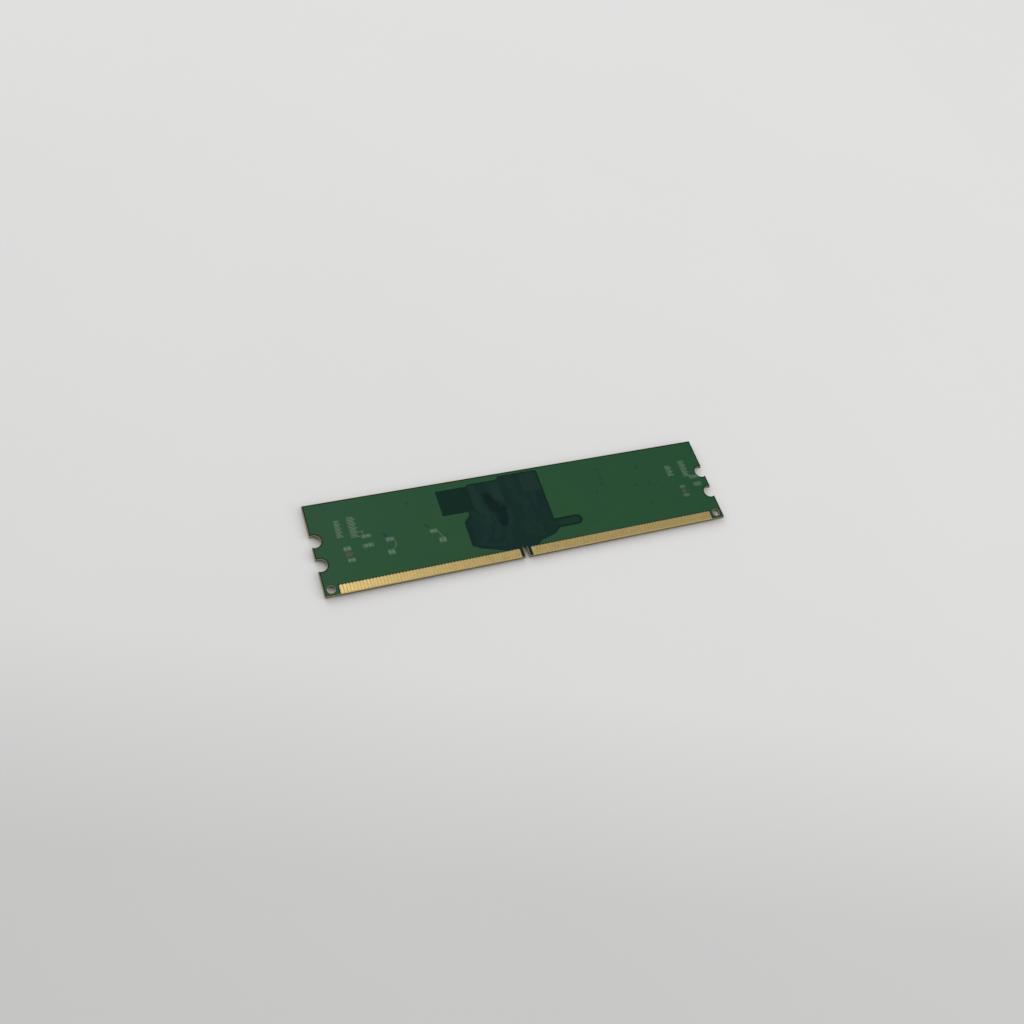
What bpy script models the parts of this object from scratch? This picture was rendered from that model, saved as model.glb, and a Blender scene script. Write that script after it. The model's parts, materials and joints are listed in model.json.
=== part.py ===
"""Desktop memory module: an unbuffered 240-contact board with eight memory packages.

Metres, +Z up. +X runs along the board, and +Y from the contact edge to the top edge. The module lies on
its packages: the front of the board, which carries every component, faces down, and the bare back faces
up. The origin is under the board's centre, in the plane that the packages rest on.
"""
import math

import bmesh
import bpy
from mathutils import Vector

MM = 0.001

# Board: outline, side notches for the socket's latches, corner holes and the key in the contact edge
BOARD_LENGTH = 133.35 * MM
BOARD_HEIGHT = 30.0 * MM
BOARD_THICKNESS = 1.27 * MM
LATCH_NOTCH_RADIUS = 2.0 * MM
LATCH_NOTCH_INSET = 1.0 * MM
LATCH_NOTCH_HEIGHTS = (10.0 * MM, 17.8 * MM)
CORNER_HOLE_RADIUS = 1.25 * MM
CORNER_HOLE_INSET = 2.2 * MM
CORNER_HOLE_HEIGHT = 2.0 * MM
KEY_X = -4.0 * MM
KEY_WIDTH = 1.5 * MM
KEY_DEPTH = 3.85 * MM

# Layers of the board. Bonded layers stay a hair apart, so that each is a solid of its own.
LAYER_GAP = 0.01 * MM
MASK_THICKNESS = 0.03 * MM
FOIL_THICKNESS = 0.035 * MM
OUTER_LAMINATE_THICKNESS = 0.12 * MM
CORE_SEAM = 0.02 * MM
MASK_INSET = 0.1 * MM
FOIL_INSET = 0.5 * MM
FOIL_BOTTOM = 3.8 * MM

# Edge contacts: one bank on each side of the key, on both faces of the board
CONTACT_PITCH = 1.0 * MM
CONTACT_WIDTH = 0.8 * MM
CONTACT_LENGTH = 2.5 * MM
CONTACT_EDGE_MARGIN = 0.25 * MM
CONTACT_THICKNESS = 0.05 * MM
CONTACT_TIE_WIDTH = 0.15 * MM
CONTACT_WINDOW_MARGIN = 0.2 * MM
KEY_TO_CONTACT = 2.5 * MM
CONTACTS_LEFT = 56
CONTACTS_RIGHT = 64

# Memory packages: eight ball-grid packages, four on each side of the middle of the board
PACKAGE_WIDTH = 8.0 * MM
PACKAGE_LENGTH = 10.0 * MM
PACKAGE_STACK = 1.2 * MM
PACKAGE_PITCH = 14.0 * MM
PACKAGE_FIRST_X = 12.5 * MM
PACKAGE_Y = 3.0 * MM
PACKAGES_PER_SIDE = 4
CAP_THICKNESS = 0.56 * MM
CAP_BEVEL = 0.06 * MM
CAP_POCKET_WALL = 0.9 * MM
CAP_POCKET_DEPTH = 0.3 * MM
DIE_CLEARANCE = 0.1 * MM
DIE_THICKNESS = 0.25 * MM
PIN_MARK_RADIUS = 0.45 * MM
PIN_MARK_DEPTH = 0.04 * MM
PIN_MARK_INSET = 1.0 * MM
SUBSTRATE_THICKNESS = 0.26 * MM
BALL_PITCH = 0.8 * MM
BALL_DIAMETER = 0.45 * MM
BALL_COLUMNS = (-4, -3, -2, 2, 3, 4)
BALL_ROWS = 11
FIRST_STAGGERED_ROW = 5

# Configuration memory: a small leaded package between the two groups of memory packages
SPD_X = 2.5 * MM
SPD_Y = 5.5 * MM
SPD_BODY_WIDTH = 4.4 * MM
SPD_BODY_LENGTH = 3.0 * MM
SPD_TOP = 0.2 * MM
SPD_STANDOFF = 0.1 * MM
SPD_FRAME_Z = 0.64 * MM
SPD_FRAME_THICKNESS = 0.12 * MM
SPD_LEAD_SPAN = 6.4 * MM
SPD_LEAD_PITCH = 0.65 * MM
SPD_LEAD_WIDTH = 0.25 * MM
SPD_FOOT_LENGTH = 0.6 * MM
SPD_LEADS_PER_SIDE = 4
SPD_PADDLE = 1.9 * MM
SPD_DIE_SIZE = 1.3 * MM
SPD_DIE_THICKNESS = 0.2 * MM

# Series resistor networks: two for each memory package, in a row above the contacts
NETWORK_LENGTH = 2.0 * MM
NETWORK_WIDTH = 1.0 * MM
NETWORK_HEIGHT = 0.45 * MM
NETWORK_OFFSET = 2.2 * MM
NETWORK_Y = -8.6 * MM
NETWORK_TERMINALS = 4
NETWORK_NOTCH_WIDTH = 0.2 * MM
NETWORK_NOTCH_DEPTH = 0.12 * MM

# Bulk ceramic capacitors, next to the configuration memory
BULK_CAPACITOR_SIZE = (2.0 * MM, 1.25 * MM, 0.85 * MM)
BULK_CAPACITOR_BEVEL = 0.08 * MM
BULK_CAPACITOR_PLACES = ((-4.5 * MM, 7.5 * MM), (-4.5 * MM, 3.5 * MM))

# Pieces that are soldered or seated keep this much to what they rest on.
SEAT_GAP = 0.01 * MM
CUT_MARGIN = 0.5 * MM

HALF_LENGTH = BOARD_LENGTH / 2
HALF_HEIGHT = BOARD_HEIGHT / 2
BOARD_FRONT_Z = PACKAGE_STACK
BOARD_BACK_Z = PACKAGE_STACK + BOARD_THICKNESS
LEFT_BANK = (KEY_X - KEY_TO_CONTACT - (CONTACTS_LEFT - 1) * CONTACT_PITCH, CONTACTS_LEFT)
RIGHT_BANK = (KEY_X + KEY_TO_CONTACT, CONTACTS_RIGHT)
CONTACT_BOTTOM = -HALF_HEIGHT + CONTACT_EDGE_MARGIN
CONTACT_TOP = CONTACT_BOTTOM + CONTACT_LENGTH
WINDOW_TOP = CONTACT_TOP + CONTACT_TIE_WIDTH + 0.5 * CONTACT_WINDOW_MARGIN

# colour, roughness, metallic
FINISHES = {
    "solder_mask": ((0.030, 0.095, 0.040), 0.42, 0.0),
    "laminate": ((0.330, 0.270, 0.120), 0.70, 0.0),
    "copper": ((0.720, 0.330, 0.180), 0.35, 1.0),
    "gold_contact": ((0.720, 0.480, 0.190), 0.30, 1.0),
    "mould_compound": ((0.018, 0.018, 0.020), 0.60, 0.0),
    "silicon": ((0.150, 0.150, 0.170), 0.20, 0.0),
    "package_substrate": ((0.060, 0.140, 0.050), 0.50, 0.0),
    "tinned_lead": ((0.640, 0.640, 0.620), 0.32, 1.0),
    "resistor_ceramic": ((0.050, 0.050, 0.055), 0.45, 0.0),
    "capacitor_ceramic": ((0.330, 0.240, 0.160), 0.50, 0.0),
}


def clear_scene():
    """Removes whatever the file opened with."""
    for obj in list(bpy.data.objects):
        bpy.data.objects.remove(obj, do_unlink=True)


def new_collection(name):
    collection = bpy.data.collections.new(name)
    bpy.context.scene.collection.children.link(collection)
    return collection


def make_material(name):
    colour, roughness, metallic = FINISHES[name]
    material = bpy.data.materials.new(name)
    material.use_nodes = True
    shader = material.node_tree.nodes["Principled BSDF"]
    shader.inputs["Base Color"].default_value = (*colour, 1.0)
    shader.inputs["Roughness"].default_value = roughness
    shader.inputs["Metallic"].default_value = metallic
    return material


def link_only(obj, collection):
    """Puts an object in one collection and in no other."""
    for other in list(obj.users_collection):
        other.objects.unlink(obj)
    collection.objects.link(obj)


def add_empty(name, location, parent=None):
    empty = bpy.data.objects.new(name, None)
    empty.location = location
    empty.parent = parent
    MODULE.objects.link(empty)
    return empty


def add_node(name, mesh, finish, parent, location=(0.0, 0.0, 0.0)):
    """One sub-part of the module, made from a finished mesh."""
    obj = bpy.data.objects.new(name, mesh)
    obj.location = location
    obj.parent = parent
    if not mesh.materials:
        mesh.materials.append(MATERIALS[finish])
    MODULE.objects.link(obj)
    return obj


def arc(centre, radius, start, end, steps):
    """Points along an arc, both ends included. The angles are in degrees."""
    angles = [math.radians(start + (end - start) * i / steps) for i in range(steps + 1)]
    return [(centre[0] + radius * math.cos(a), centre[1] + radius * math.sin(a)) for a in angles]


def circle(centre, radius, steps):
    return arc(centre, radius, 0.0, 360.0, steps)[:-1]


def latch_notches(side, inset, steps):
    """The two notches in one end of the board. The right end runs upwards, and the left end downwards."""
    radius = LATCH_NOTCH_RADIUS + inset
    mouth = math.degrees(math.acos((LATCH_NOTCH_INSET - inset) / radius))
    heights = LATCH_NOTCH_HEIGHTS if side > 0 else LATCH_NOTCH_HEIGHTS[::-1]
    points = []
    for height in heights:
        centre = (side * (HALF_LENGTH - LATCH_NOTCH_INSET), -HALF_HEIGHT + height)
        start, end = (-mouth, mouth - 360.0) if side > 0 else (180.0 - mouth, mouth - 180.0)
        points += arc(centre, radius, start, end, steps)
    return points


def key_notch(inset, bottom, steps):
    """The key, from left to right: a slot with a round end, open at the height called bottom."""
    radius = KEY_WIDTH / 2 + inset
    centre = (KEY_X, -HALF_HEIGHT + KEY_DEPTH - KEY_WIDTH / 2)
    if bottom < centre[1]:
        sides = [(KEY_X - radius, bottom)], [(KEY_X + radius, bottom)]
        return sides[0] + arc(centre, radius, 180.0, 0.0, steps) + sides[1]
    lift = math.degrees(math.asin((bottom - centre[1]) / radius))
    return arc(centre, radius, 180.0 - lift, lift, steps)


def contact_window(bank, bottom):
    """The opening that the solder mask leaves around one bank of contacts."""
    first, count = bank
    reach = CONTACT_WIDTH / 2 + CONTACT_WINDOW_MARGIN
    left = first - reach
    right = first + (count - 1) * CONTACT_PITCH + reach
    return [(left, bottom), (left, WINDOW_TOP), (right, WINDOW_TOP), (right, bottom)]


def layer_outline(inset, bottom, middle, steps, windows=False):
    """Anticlockwise outline of one layer, from its lower left corner. middle is what meets the key."""
    right, top = HALF_LENGTH - inset, HALF_HEIGHT - inset
    points = [(-right, bottom)]
    points += contact_window(LEFT_BANK, bottom) if windows else []
    points += middle
    points += contact_window(RIGHT_BANK, bottom) if windows else []
    points += [(right, bottom)]
    points += latch_notches(1, inset, steps)
    points += [(right, top), (-right, top)]
    points += latch_notches(-1, inset, steps)
    return points


def corner_holes(inset, steps):
    x = HALF_LENGTH - CORNER_HOLE_INSET
    y = -HALF_HEIGHT + CORNER_HOLE_HEIGHT
    return [circle((side * x, y), CORNER_HOLE_RADIUS + inset, steps) for side in (-1, 1)]


def clipped(points, x, side):
    """The part of an outline on one side of an upright line: side is 1 for its right, -1 for its left."""
    kept = []
    for (x0, y0), (x1, y1) in zip(points, points[1:] + points[:1]):
        inside = side * (x0 - x) > 0
        if inside:
            kept.append((x0, y0))
        if inside != (side * (x1 - x) > 0):
            kept.append((x, y0 + (y1 - y0) * (x - x0) / (x1 - x0)))
    return kept


def routed_area(bottom):
    """Edge of the area of the back that the copper leaves free, from lower left round to lower right."""
    left_part = [
        (-10.2, None),
        (-14.5, -10.4),
        (-17.4, -9.6),
        (-20.0, -8.1),
        (-20.0, 0.2),
        (-18.0, 1.9),
        (-17.7, 3.5),
        (-26.0, 3.5),
        (-26.0, 12.3),
        (-16.0, 12.3),
        (-15.5, 12.8),
        (-5.0, 12.8),
        (-4.5, 14.0),
        (8.6, 14.0),
        (8.6, -4.2),
    ]
    finger_radius = 1.7
    finger = arc((16.2, -4.2 - finger_radius), finger_radius, 90.0, -90.0, 8)
    right_part = [(9.3, -7.6), (7.3, -9.3), (2.0, -10.7), (0.9, None)]
    points = left_part + finger + right_part
    return [(x * MM, bottom if y is None else y * MM) for x, y in points]


def plate(outline, holes, low, high):
    """A closed flat plate: a filled 2D curve with its thickness, turned into a mesh."""
    curve = bpy.data.curves.new("plate", "CURVE")
    curve.dimensions = "2D"
    curve.fill_mode = "BOTH"
    curve.extrude = (high - low) / 2
    for points in [outline, *holes]:
        spline = curve.splines.new("POLY")
        spline.points.add(len(points) - 1)
        for point, (x, y) in zip(spline.points, points):
            point.co = (x, y, 0.0, 1.0)
        spline.use_cyclic_u = True
        spline.use_smooth = False
    obj = bpy.data.objects.new("plate", curve)
    obj.location.z = (low + high) / 2
    GUIDES.objects.link(obj)
    return finished_mesh(obj)


def finished_mesh(obj, helpers=()):
    """The object's evaluated mesh in the module's frame. The object and its helpers are then removed."""
    bpy.context.view_layer.update()
    evaluated = obj.evaluated_get(bpy.context.evaluated_depsgraph_get())
    mesh = bpy.data.meshes.new_from_object(evaluated)
    mesh.transform(evaluated.matrix_world)
    shell = bmesh.new()
    shell.from_mesh(mesh)
    bmesh.ops.remove_doubles(shell, verts=shell.verts, dist=0.0001 * MM)
    shell.to_mesh(mesh)
    shell.free()
    mesh.materials.clear()
    mesh.shade_smooth()
    mesh.set_sharp_from_angle(angle=math.radians(35.0))
    for used in (obj, *helpers):
        bpy.data.objects.remove(used, do_unlink=True)
    return mesh


def add_box(name, size, centre):
    """A box at its real scale, as a working shape."""
    bpy.ops.mesh.primitive_cube_add(size=1.0, location=centre)
    box = bpy.context.active_object
    box.name = name
    box.scale = size
    bpy.ops.object.transform_apply(location=False, rotation=False, scale=True)
    link_only(box, GUIDES)
    return box


def add_boxes(name, boxes):
    """Several separate boxes in one working shape. Each is a size and a centre."""
    shell = bmesh.new()
    for size, centre in boxes:
        made = bmesh.ops.create_cube(shell, size=1.0)["verts"]
        bmesh.ops.scale(shell, vec=Vector(size), verts=made)
        bmesh.ops.translate(shell, vec=Vector(centre), verts=made)
    return add_working_mesh(name, shell)


def add_posts(name, places, radius, low, high):
    """Upright four-sided posts in one working shape, one at each place."""
    shell = bmesh.new()
    for x, y in places:
        made = bmesh.ops.create_cone(
            shell, cap_ends=True, segments=4, radius1=radius, radius2=radius, depth=high - low
        )["verts"]
        bmesh.ops.translate(shell, vec=Vector((x, y, (low + high) / 2)), verts=made)
    return add_working_mesh(name, shell)


def add_working_mesh(name, shell):
    mesh = bpy.data.meshes.new(name)
    shell.to_mesh(mesh)
    shell.free()
    obj = bpy.data.objects.new(name, mesh)
    GUIDES.objects.link(obj)
    return obj


def add_disc(name, radius, low, high, x, y):
    bpy.ops.mesh.primitive_cylinder_add(
        vertices=12, radius=radius, depth=high - low, location=(x, y, (low + high) / 2)
    )
    disc = bpy.context.active_object
    disc.name = name
    link_only(disc, GUIDES)
    return disc


def combine(obj, helper, operation):
    """Cuts the helper out of the object, or joins it on."""
    helper.hide_render = True
    helper.display_type = "WIRE"
    modifier = obj.modifiers.new(operation.lower(), "BOOLEAN")
    modifier.operation = operation
    modifier.solver = "EXACT"
    modifier.object = helper


def bevel(obj, width):
    modifier = obj.modifiers.new("bevel", "BEVEL")
    modifier.width = width
    modifier.segments = 1
    modifier.limit_method = "ANGLE"
    modifier.angle_limit = math.radians(40.0)


def add_board(parent):
    """The board's layers, from the front, which faces down, to the back."""
    foil_bottom = -HALF_HEIGHT + FOIL_BOTTOM
    mask_bottom = -HALF_HEIGHT + MASK_INSET
    core = BOARD_THICKNESS - 8 * LAYER_GAP
    core -= 2 * MASK_THICKNESS + 4 * FOIL_THICKNESS + 2 * OUTER_LAMINATE_THICKNESS
    laminate = layer_outline(0.0, -HALF_HEIGHT, key_notch(0.0, -HALF_HEIGHT, 16), 24)
    mask = layer_outline(MASK_INSET, mask_bottom, key_notch(MASK_INSET, mask_bottom, 8), 8, True)
    foil = layer_outline(FOIL_INSET, foil_bottom, key_notch(FOIL_INSET, foil_bottom, 6), 8)
    pour = layer_outline(FOIL_INSET, foil_bottom, routed_area(foil_bottom), 8)
    laminate_holes = corner_holes(0.0, 32)
    mask_holes = corner_holes(MASK_INSET, 12)
    layers = (
        ("solder_mask_front", "solder_mask", mask, mask_holes, MASK_THICKNESS),
        ("copper_front", "copper", foil, [], FOIL_THICKNESS),
        ("laminate_front", "laminate", laminate, laminate_holes, OUTER_LAMINATE_THICKNESS),
        ("ground_plane", "copper", foil, [], FOIL_THICKNESS),
        ("laminate_core", "laminate", laminate, laminate_holes, core),
        ("power_plane", "copper", foil, [], FOIL_THICKNESS),
        ("laminate_back", "laminate", laminate, laminate_holes, OUTER_LAMINATE_THICKNESS),
        ("copper_back", "copper", pour, [], FOIL_THICKNESS),
        ("solder_mask_back", "solder_mask", mask, mask_holes, MASK_THICKNESS),
    )
    low = BOARD_FRONT_Z
    for name, finish, outline, holes, thickness in layers:
        high = low + thickness
        if name == "laminate_core":
            add_core_halves(outline, holes, low, high, parent)
        else:
            add_node(name, plate(outline, holes, low, high), finish, parent)
        low = high + LAYER_GAP


def add_core_halves(outline, holes, low, high, parent):
    """The core, in two halves that meet above the key, so that each half's collision keeps its notches."""
    for side, hole, word in ((-1, holes[0], "left"), (1, holes[1], "right")):
        half = clipped(outline, KEY_X + side * CORE_SEAM / 2, side)
        add_node(f"laminate_core_{word}", plate(half, [hole], low, high), "laminate", parent)


def contact_comb(bank, low):
    """One bank of contacts. A narrow strip at their upper ends ties them into one piece."""
    first, count = bank
    half = CONTACT_WIDTH / 2
    points = [(first - half, CONTACT_TOP + CONTACT_TIE_WIDTH)]
    for index in range(count):
        x = first + index * CONTACT_PITCH
        top = CONTACT_TOP
        if index > 0:
            points.append((x - half, top))
        points += [(x - half, CONTACT_BOTTOM), (x + half, CONTACT_BOTTOM)]
        if index < count - 1:
            points.append((x + half, top))
    points.append((first + (count - 1) * CONTACT_PITCH + half, CONTACT_TOP + CONTACT_TIE_WIDTH))
    return plate(points, [], low, low + CONTACT_THICKNESS)


def add_contacts(parent):
    foil_depth = MASK_THICKNESS + LAYER_GAP + FOIL_THICKNESS
    faces = (
        ("front", BOARD_FRONT_Z + foil_depth - CONTACT_THICKNESS),
        ("back", BOARD_BACK_Z - foil_depth),
    )
    for face, low in faces:
        add_node(f"contacts_{face}_left", contact_comb(LEFT_BANK, low), "gold_contact", parent)
        add_node(f"contacts_{face}_right", contact_comb(RIGHT_BANK, low), "gold_contact", parent)


def moulded_cap_mesh():
    """A package's moulded cap: a shallow tray, open towards the board, with a dimple at contact one."""
    size = (PACKAGE_WIDTH, PACKAGE_LENGTH, CAP_THICKNESS)
    cap = add_box("cap", size, (0.0, 0.0, CAP_THICKNESS / 2))
    bevel(cap, CAP_BEVEL)
    pocket_size = (
        PACKAGE_WIDTH - 2 * CAP_POCKET_WALL,
        PACKAGE_LENGTH - 2 * CAP_POCKET_WALL,
        CAP_POCKET_DEPTH + CUT_MARGIN,
    )
    pocket_z = CAP_THICKNESS - CAP_POCKET_DEPTH + pocket_size[2] / 2
    pocket = add_box("pocket", pocket_size, (0.0, 0.0, pocket_z))
    mark_x = PACKAGE_WIDTH / 2 - PIN_MARK_INSET
    mark_y = PACKAGE_LENGTH / 2 - PIN_MARK_INSET
    mark = add_disc("pin_mark", PIN_MARK_RADIUS, -CUT_MARGIN, PIN_MARK_DEPTH, mark_x, mark_y)
    combine(cap, pocket, "DIFFERENCE")
    combine(cap, mark, "DIFFERENCE")
    return finished_mesh(cap, (pocket, mark))


def die_mesh():
    """The silicon die, which fills most of the cap's pocket."""
    margin = 2 * (CAP_POCKET_WALL + DIE_CLEARANCE)
    high = CAP_THICKNESS - SEAT_GAP
    size = (PACKAGE_WIDTH - margin, PACKAGE_LENGTH - margin, DIE_THICKNESS)
    return finished_mesh(add_box("die", size, (0.0, 0.0, high - DIE_THICKNESS / 2)))


def ball_places():
    """Centres of the solder balls: two fields of three columns, with staggered outer rows."""
    places = []
    for row in range(BALL_ROWS):
        missing = None
        if row >= FIRST_STAGGERED_ROW:
            missing = BALL_COLUMNS[0] if (row - FIRST_STAGGERED_ROW) % 2 == 0 else BALL_COLUMNS[-1]
        y = ((BALL_ROWS - 1) / 2 - row) * BALL_PITCH
        places += [(column * BALL_PITCH, y) for column in BALL_COLUMNS if column != missing]
    return places


def substrate_mesh():
    """A package's substrate with its solder balls, which stand on the board as short posts."""
    low = CAP_THICKNESS + SEAT_GAP
    high = low + SUBSTRATE_THICKNESS
    size = (PACKAGE_WIDTH, PACKAGE_LENGTH, SUBSTRATE_THICKNESS)
    substrate = add_box("substrate", size, (0.0, 0.0, (low + high) / 2))
    root = high - SUBSTRATE_THICKNESS / 2
    balls = add_posts("balls", ball_places(), BALL_DIAMETER / 2, root, BOARD_FRONT_Z - SEAT_GAP)
    combine(substrate, balls, "UNION")
    return finished_mesh(substrate, (balls,))


def package_columns():
    """X of each memory package, from left to right."""
    reach = [PACKAGE_FIRST_X + i * PACKAGE_PITCH for i in range(PACKAGES_PER_SIDE)]
    return [-x for x in reversed(reach)] + reach


def add_memory_packages(parent):
    cap = moulded_cap_mesh()
    die = die_mesh()
    substrate = substrate_mesh()
    for number, x in enumerate(package_columns(), start=1):
        place = add_empty(f"memory_package_{number}", (x, PACKAGE_Y, 0.0), parent)
        add_node(f"memory_{number}_moulded_cap", cap, "mould_compound", place)
        add_node(f"memory_{number}_die", die, "silicon", place)
        add_node(f"memory_{number}_substrate", substrate, "package_substrate", place)


def spd_half(low, high, pocket_depth):
    """One moulded half of the configuration memory's case. The outer half has a pocket for the die."""
    size = (SPD_BODY_WIDTH, SPD_BODY_LENGTH, high - low)
    half = add_box("case", size, (0.0, 0.0, (low + high) / 2))
    if not pocket_depth:
        return finished_mesh(half)
    pocket_size = (
        SPD_DIE_SIZE + 2 * DIE_CLEARANCE,
        SPD_DIE_SIZE + 2 * DIE_CLEARANCE,
        pocket_depth + CUT_MARGIN,
    )
    pocket = add_box("pocket", pocket_size, (0.0, 0.0, high - pocket_depth + pocket_size[2] / 2))
    combine(half, pocket, "DIFFERENCE")
    return finished_mesh(half, (pocket,))


def lead_frame_mesh():
    """The lead frame: a paddle under the die and four bent leads on each side."""
    thickness = SPD_FRAME_THICKNESS
    foot_high = BOARD_FRONT_Z - SEAT_GAP
    frame_low = SPD_FRAME_Z - thickness / 2
    half_span = SPD_LEAD_SPAN / 2
    leg_x = half_span - SPD_FOOT_LENGTH
    rows = [(i - (SPD_LEADS_PER_SIDE - 1) / 2) * SPD_LEAD_PITCH for i in range(SPD_LEADS_PER_SIDE)]
    boxes = []
    for side in (-1, 1):
        for y in rows:
            arm = (leg_x - 0.25 * SPD_PADDLE, SPD_LEAD_WIDTH, thickness)
            boxes.append((arm, (side * (leg_x + 0.25 * SPD_PADDLE) / 2, y, SPD_FRAME_Z)))
            leg = (thickness, SPD_LEAD_WIDTH, foot_high - frame_low)
            boxes.append((leg, (side * leg_x, y, (foot_high + frame_low) / 2)))
            foot = (SPD_FOOT_LENGTH, SPD_LEAD_WIDTH, thickness)
            boxes.append((foot, (side * (leg_x + half_span) / 2, y, foot_high - thickness / 2)))
    paddle_length = rows[-1] - rows[0] + 1.5 * SPD_LEAD_WIDTH
    frame = add_box("frame", (SPD_PADDLE, paddle_length, 0.98 * thickness), (0.0, 0.0, SPD_FRAME_Z))
    leads = add_boxes("leads", boxes)
    combine(frame, leads, "UNION")
    frame.modifiers["union"].use_self = True
    return finished_mesh(frame, (leads,))


def add_configuration_memory(parent):
    place = add_empty("configuration_memory", (SPD_X, SPD_Y, 0.0), parent)
    frame_low = SPD_FRAME_Z - SPD_FRAME_THICKNESS / 2
    frame_high = SPD_FRAME_Z + SPD_FRAME_THICKNESS / 2
    die_high = frame_low - SEAT_GAP
    pocket_depth = SPD_DIE_THICKNESS + 2 * SEAT_GAP
    outer = spd_half(SPD_TOP, frame_low - SEAT_GAP, pocket_depth)
    inner = spd_half(frame_high + SEAT_GAP, BOARD_FRONT_Z - SPD_STANDOFF, 0.0)
    die_size = (SPD_DIE_SIZE, SPD_DIE_SIZE, SPD_DIE_THICKNESS)
    die = finished_mesh(add_box("die", die_size, (0.0, 0.0, die_high - SPD_DIE_THICKNESS / 2)))
    add_node("spd_case_outer_half", outer, "mould_compound", place)
    add_node("spd_die", die, "silicon", place)
    add_node("spd_lead_frame", lead_frame_mesh(), "tinned_lead", place)
    add_node("spd_case_inner_half", inner, "mould_compound", place)


def network_outline():
    """A resistor network seen from above: small notches part its terminals along both long sides."""
    half_length, half_width = NETWORK_LENGTH / 2, NETWORK_WIDTH / 2
    pitch = NETWORK_LENGTH / NETWORK_TERMINALS
    bottom = [(-half_length, -half_width)]
    for index in range(1, NETWORK_TERMINALS):
        x = -half_length + index * pitch
        bottom.append((x - NETWORK_NOTCH_WIDTH / 2, -half_width))
        bottom.append((x, -half_width + NETWORK_NOTCH_DEPTH))
        bottom.append((x + NETWORK_NOTCH_WIDTH / 2, -half_width))
    bottom.append((half_length, -half_width))
    return bottom + [(-x, -y) for x, y in bottom]


def add_resistor_networks(parent):
    high = BOARD_FRONT_Z - SEAT_GAP
    mesh = plate(network_outline(), [], high - NETWORK_HEIGHT, high)
    places = [x + side * NETWORK_OFFSET for x in package_columns() for side in (-1, 1)]
    for number, x in enumerate(places, start=1):
        name = f"resistor_network_{number:02d}"
        add_node(name, mesh, "resistor_ceramic", parent, (x, NETWORK_Y, 0.0))


def add_bulk_capacitors(parent):
    height = BULK_CAPACITOR_SIZE[2]
    centre = (0.0, 0.0, BOARD_FRONT_Z - SEAT_GAP - height / 2)
    body = add_box("capacitor", BULK_CAPACITOR_SIZE, centre)
    bevel(body, BULK_CAPACITOR_BEVEL)
    mesh = finished_mesh(body)
    for number, (x, y) in enumerate(BULK_CAPACITOR_PLACES, start=1):
        add_node(f"bulk_capacitor_{number}", mesh, "capacitor_ceramic", parent, (x, y, 0.0))


clear_scene()
MODULE = new_collection("memory_module")
GUIDES = new_collection("guides")
MATERIALS = {name: make_material(name) for name in FINISHES}
module = add_empty("memory_module", (0.0, 0.0, 0.0))
add_board(module)
add_contacts(module)
add_memory_packages(module)
add_configuration_memory(module)
add_resistor_networks(module)
add_bulk_capacitors(module)
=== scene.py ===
"""Looks of the desktop memory module: solder mask, contacts, laminate, packages and small parts.

The board's back faces up and its front, with the components, faces down. Metres throughout.
"""

import json
import math
import random

import bmesh
import bpy
from mathutils import Matrix, Vector


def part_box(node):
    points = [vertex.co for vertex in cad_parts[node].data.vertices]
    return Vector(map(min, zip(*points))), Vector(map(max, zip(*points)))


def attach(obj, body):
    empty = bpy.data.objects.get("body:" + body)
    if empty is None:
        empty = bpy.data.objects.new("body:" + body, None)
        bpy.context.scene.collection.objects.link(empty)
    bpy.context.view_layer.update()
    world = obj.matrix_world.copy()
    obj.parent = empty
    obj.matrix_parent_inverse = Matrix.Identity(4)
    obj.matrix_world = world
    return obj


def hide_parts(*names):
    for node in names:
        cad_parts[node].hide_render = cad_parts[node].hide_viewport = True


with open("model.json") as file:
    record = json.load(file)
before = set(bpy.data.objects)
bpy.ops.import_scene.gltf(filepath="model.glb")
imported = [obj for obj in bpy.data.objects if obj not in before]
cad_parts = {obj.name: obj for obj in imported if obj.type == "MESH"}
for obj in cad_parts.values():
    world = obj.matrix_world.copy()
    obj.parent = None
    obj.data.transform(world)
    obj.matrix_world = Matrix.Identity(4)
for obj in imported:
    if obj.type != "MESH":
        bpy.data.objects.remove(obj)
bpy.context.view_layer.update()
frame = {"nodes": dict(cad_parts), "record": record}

MM = 0.001

# Outline of the board and its contacts, as in the CAD model
LATCH_NOTCH_RADIUS = 2.0 * MM
LATCH_NOTCH_INSET = 1.0 * MM
LATCH_NOTCH_HEIGHTS = (10.0 * MM, 17.8 * MM)
CORNER_HOLE_RADIUS = 1.25 * MM
CORNER_HOLE_INSET = 2.2 * MM
CORNER_HOLE_HEIGHT = 2.0 * MM
KEY_X = -4.0 * MM
KEY_WIDTH = 1.5 * MM
KEY_DEPTH = 3.85 * MM
CONTACT_PITCH = 1.0 * MM
CONTACT_WIDTH = 0.8 * MM
CONTACT_LENGTH = 2.5 * MM
NETWORK_TERMINALS = 4

# Solder mask: the step between its two levels, and how far each keeps from the board's edges
MASK_STEP = 0.036 * MM
MASK_INSET = 0.08 * MM
POUR_INSET = 0.45 * MM
CORNER_INSET = 0.25 * MM
WINDOW_MARGIN = 0.22 * MM
POUR_TO_CONTACTS = 0.32 * MM
LOW_MASK_EDGE = 0.012 * MM
HIGH_MASK_EDGE = 0.014 * MM

# Room that the back's mask leaves below the CAD model's top, for the marks on it
MARK_HEADROOM = 0.010 * MM

# Gap between the laminate and what lies on it, and how far a raised piece sinks into its ground
COAT_GAP = 0.002 * MM
OVERLAP = 0.004 * MM

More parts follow.
